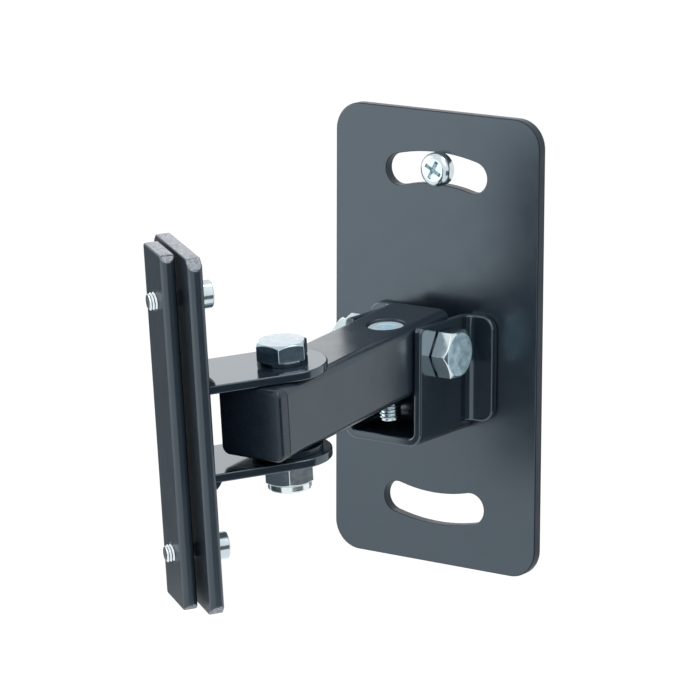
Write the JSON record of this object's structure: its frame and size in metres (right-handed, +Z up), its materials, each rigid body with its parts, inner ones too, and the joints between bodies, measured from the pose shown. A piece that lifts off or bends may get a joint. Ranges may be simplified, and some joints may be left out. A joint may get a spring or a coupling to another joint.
{
  "type": "speaker wall bracket",
  "caption": "Adjustable wall bracket for a loudspeaker: slotted wall plate, tilting box arm, swivelling head and a clamp bar that grips a rail on the speaker's back.",
  "frame": {"origin": "middle of the wall plate's back face, on the wall", "axes": "+Z up along the plate's height, +Y into the wall, +X to the right seen from the room; the arm stands out towards -Y"},
  "size_m": [0.084, 0.1408, 0.162],
  "materials": {
    "black_paint": "semi-gloss",
    "zinc": "bright zinc plate",
    "black_plastic": "matt",
    "nylon": "matt"
  },
  "bodies": {
    "wall": {"wall_plate": "black_paint", "slot_screw": "zinc", "tilt_channel": "black_paint", "tilt_bolt": "zinc", "tilt_nut": "zinc", "tilt_nut_ring": "nylon"},
    "arm": {"arm_tube": "black_paint", "arm_end_cap": "black_plastic", "stop_nut": "zinc"},
    "stop": {"stop_screw": "zinc"},
    "head": {"rail_back_bar": "black_paint", "lug_upper": "black_paint", "lug_lower": "black_paint", "lug_weld_upper": "black_paint", "lug_weld_lower": "black_paint", "swivel_washer": "black_plastic", "swivel_bolt": "zinc", "swivel_nut": "zinc", "swivel_nut_ring": "nylon", "rail_washer_upper": "zinc", "rail_washer_lower": "zinc"},
    "clamp": {"clamp_bar": "black_paint"},
    "upper_screw": {"rail_screw_upper": "zinc"},
    "lower_screw": {"rail_screw_lower": "zinc"}
  },
  "joints": [
    {"name": "arm_tilt", "type": "hinge", "parent": "wall", "child": "arm", "pos_m": [0, -0.022, 0.0008], "axis": [1, 0, 0], "range_deg": [-20.5, 9.5]},
    {"name": "stop_screw_travel", "type": "slide", "parent": "arm", "child": "stop", "axis": [0, -0.0958, 0.9954], "range_m": [-0.0025, 0.005]},
    {"name": "head_swivel", "type": "hinge", "parent": "arm", "child": "head", "pos_m": [0, -0.09516, -0.00624], "axis": [0, -0.0958, 0.9954], "range_deg": [-48.3, 121.7]},
    {"name": "upper_screw_turn", "type": "hinge", "parent": "head", "child": "upper_screw", "pos_m": [-0.01849, -0.12395, 0.03388], "axis": [-0.5976, -0.7981, -0.0768], "range_deg": [-1080, 432]},
    {"name": "lower_screw_turn", "type": "hinge", "parent": "head", "child": "lower_screw", "pos_m": [-0.01849, -0.11557, -0.05312], "axis": [-0.5976, -0.7981, -0.0768], "range_deg": [-1080, 432]},
    {"name": "clamp_travel", "type": "slide", "parent": "head", "child": "clamp", "axis": [-0.5976, -0.7981, -0.0768], "range_m": [-0.0012, 0.003]}
  ],
  "couplings": [
    {"joint": "upper_screw_turn", "follows": "clamp_travel", "rad_per_m": -6283.2},
    {"joint": "lower_screw_turn", "follows": "clamp_travel", "rad_per_m": -6283.2}
  ]
}
